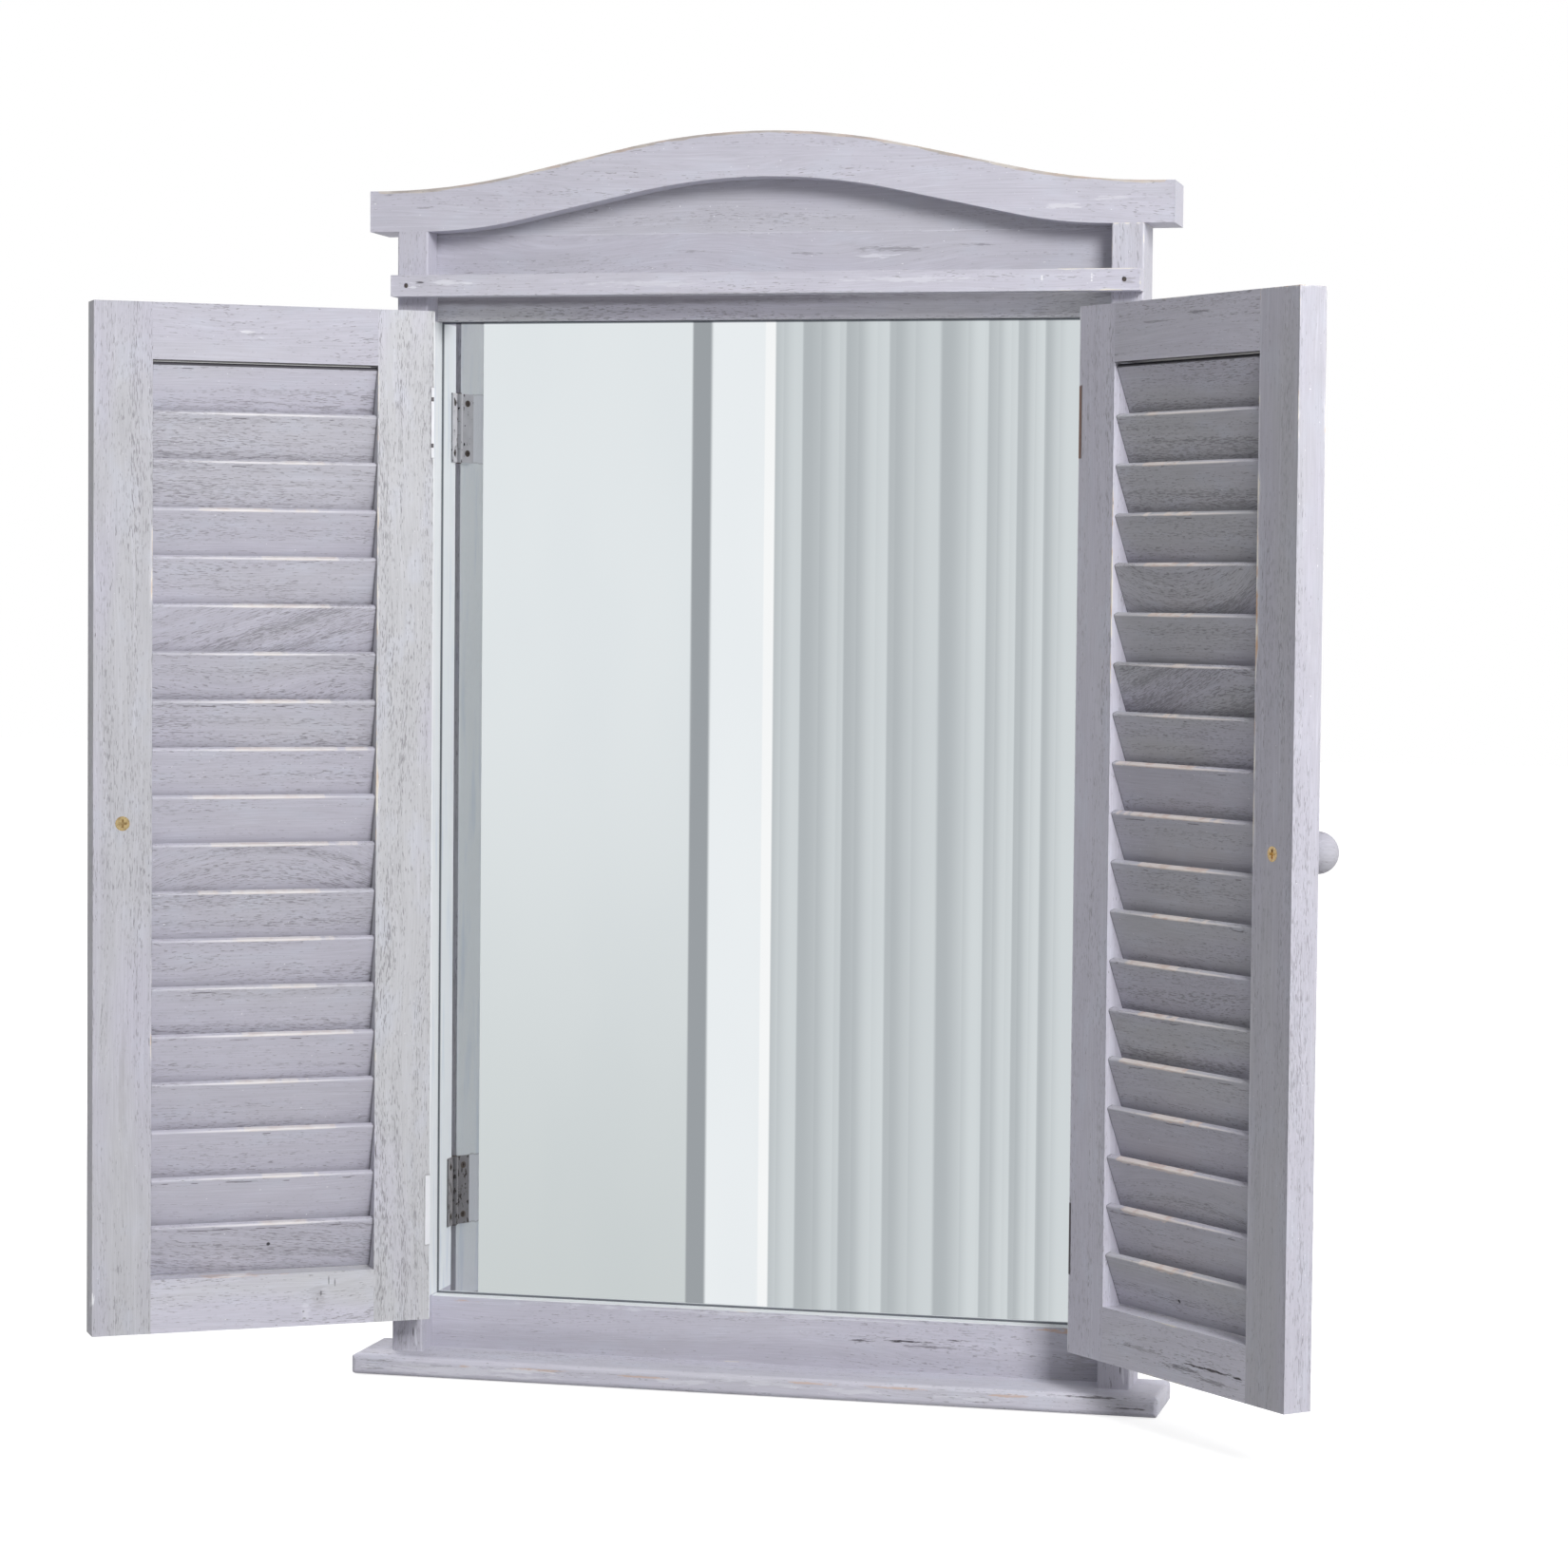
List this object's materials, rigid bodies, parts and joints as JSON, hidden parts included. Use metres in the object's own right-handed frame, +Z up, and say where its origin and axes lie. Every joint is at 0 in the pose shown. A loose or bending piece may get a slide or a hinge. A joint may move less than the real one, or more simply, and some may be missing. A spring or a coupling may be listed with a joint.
{
  "type": "shutter mirror",
  "caption": "Upright wall mirror in a weathered wooden window frame with an arched cornice, a sill and a pair of hinged louvred shutters with round knobs.",
  "frame": {"origin": "midpoint between the two hanging holes, on the plane of the wall", "axes": "+X to the right as seen from the front, +Y into the wall, +Z up"},
  "size_m": [0.6945, 0.1883, 0.705],
  "materials": {
    "frame_paint": "brushed matt paint with worn edges",
    "shutter_paint": "brushed matt paint with worn edges",
    "slat_paint": "brushed matt paint, wood showing at the edges",
    "bare_wood": "raw",
    "mirror_glass": "silvered glass",
    "hinge_paint": "painted over with the frame, chipped",
    "dark_steel": "aged steel",
    "brass": "satin"
  },
  "bodies": {
    "frame": {"left_post": "frame_paint", "right_post": "frame_paint", "cornice": "frame_paint", "upper_pediment_board": "frame_paint", "lower_pediment_board": "frame_paint", "ledge_strip": "frame_paint", "header_rail": "frame_paint", "bottom_rail": "frame_paint", "sill_board": "frame_paint", "mirror_glass": "mirror_glass", "back_panel": "bare_wood", "rail_dowels": "bare_wood", "cornice_dowels": "bare_wood", "sill_screws": "dark_steel", "ledge_nails": "dark_steel", "back_panel_pins": "dark_steel", "left_hanger_plate": "dark_steel", "right_hanger_plate": "dark_steel", "hanger_screws": "dark_steel", "left_upper_frame_leaf": "hinge_paint", "left_lower_frame_leaf": "hinge_paint", "right_upper_frame_leaf": "hinge_paint", "right_lower_frame_leaf": "hinge_paint", "left_upper_hinge_pin": "dark_steel", "left_lower_hinge_pin": "dark_steel", "right_upper_hinge_pin": "dark_steel", "right_lower_hinge_pin": "dark_steel", "frame_leaf_screws": "dark_steel"},
    "left_shutter": {"left_hinge_stile": "shutter_paint", "left_meeting_stile": "shutter_paint", "left_top_rail": "shutter_paint", "left_bottom_rail": "shutter_paint", "left_slats": "slat_paint", "left_knob": "shutter_paint", "left_knob_screw": "brass", "left_upper_shutter_leaf": "hinge_paint", "left_lower_shutter_leaf": "hinge_paint", "left_leaf_screws": "dark_steel", "left_shutter_dowels": "bare_wood"},
    "right_shutter": {"right_hinge_stile": "shutter_paint", "right_meeting_stile": "shutter_paint", "right_top_rail": "shutter_paint", "right_bottom_rail": "shutter_paint", "right_slats": "slat_paint", "right_knob": "shutter_paint", "right_knob_screw": "brass", "right_upper_shutter_leaf": "hinge_paint", "right_lower_shutter_leaf": "hinge_paint", "right_leaf_screws": "dark_steel", "right_shutter_dowels": "bare_wood"}
  },
  "joints": [
    {"name": "left_shutter_hinge", "type": "hinge", "parent": "frame", "child": "left_shutter", "pos_m": [-0.1946, -0.0362, -0.31], "axis": [0, 0, 1], "range_deg": [-33, 147]},
    {"name": "right_shutter_hinge", "type": "hinge", "parent": "frame", "child": "right_shutter", "pos_m": [0.1946, -0.0362, -0.31], "axis": [0, 0, 1], "range_deg": [-134, 46]}
  ]
}
